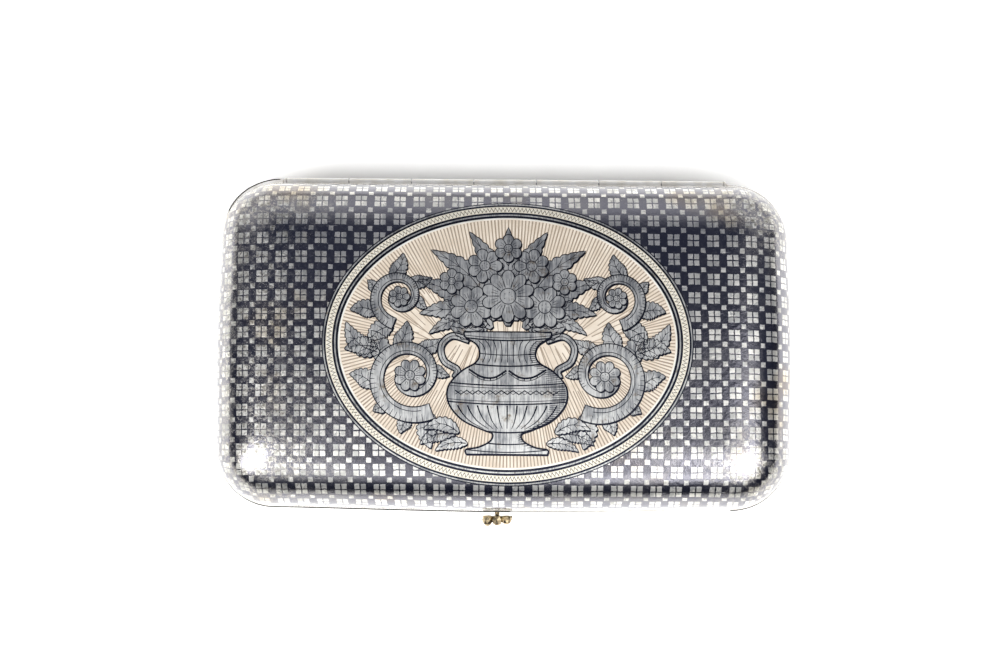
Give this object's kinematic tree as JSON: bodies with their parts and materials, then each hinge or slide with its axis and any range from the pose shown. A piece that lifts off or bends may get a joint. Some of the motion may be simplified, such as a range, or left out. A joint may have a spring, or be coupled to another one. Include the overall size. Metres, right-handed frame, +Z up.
{
  "type": "tobacco box",
  "caption": "Pillow-shaped silver tobacco box with a niello chequer lid, an oval medallion, a back hinge and a gilt push piece at the front.",
  "frame": {"origin": "middle of the flat underside, on the surface that the closed box lies on", "axes": "+X to the right along the long side, +Y to the back where the hinge is, +Z up through the lid"},
  "size_m": [0.112, 0.068, 0.0253],
  "materials": {
    "niello_silver": "polished silver sheet inlaid with blue-black niello, worn",
    "plain_silver": "polished plain silver, lightly scratched",
    "gilt_silver": "fire-gilt silver, satin",
    "gold": "worn faceted gold",
    "spring_steel": "blued spring steel, bright on its edges"
  },
  "bodies": {
    "base": {"base_shell": "niello_silver", "base_rim": "plain_silver", "base_bezel": "gilt_silver", "base_hinge_bearer": "gilt_silver", "base_knuckle_1": "plain_silver", "base_knuckle_3": "plain_silver", "base_knuckle_5": "plain_silver", "base_knuckle_7": "plain_silver", "hinge_pin": "spring_steel", "hinge_plug_left": "plain_silver", "hinge_plug_right": "plain_silver", "catch_spring": "spring_steel", "spring_rivet_outer": "spring_steel", "spring_rivet_inner": "spring_steel"},
    "lid": {"lid_shell": "niello_silver", "lid_rim": "plain_silver", "lid_hinge_bearer": "gilt_silver", "lid_keeper": "gilt_silver", "lid_knuckle_2": "plain_silver", "lid_knuckle_4": "plain_silver", "lid_knuckle_6": "plain_silver"},
    "catch": {"thumb_button": "gold", "button_stem": "gold", "catch_hook": "spring_steel"}
  },
  "joints": [
    {"name": "lid_hinge", "type": "hinge", "parent": "base", "child": "lid", "pos_m": [0, 0.03215, 0.01215], "axis": [-1, 0, 0], "range_deg": [0, 105]},
    {"name": "thumb_push", "type": "slide", "parent": "base", "child": "catch", "axis": [0, 1, 0], "range_m": [0, 0.0005], "stiffness_N_per_m": 600, "springref_m": -0.0003, "deforming": ["catch_spring"]}
  ]
}
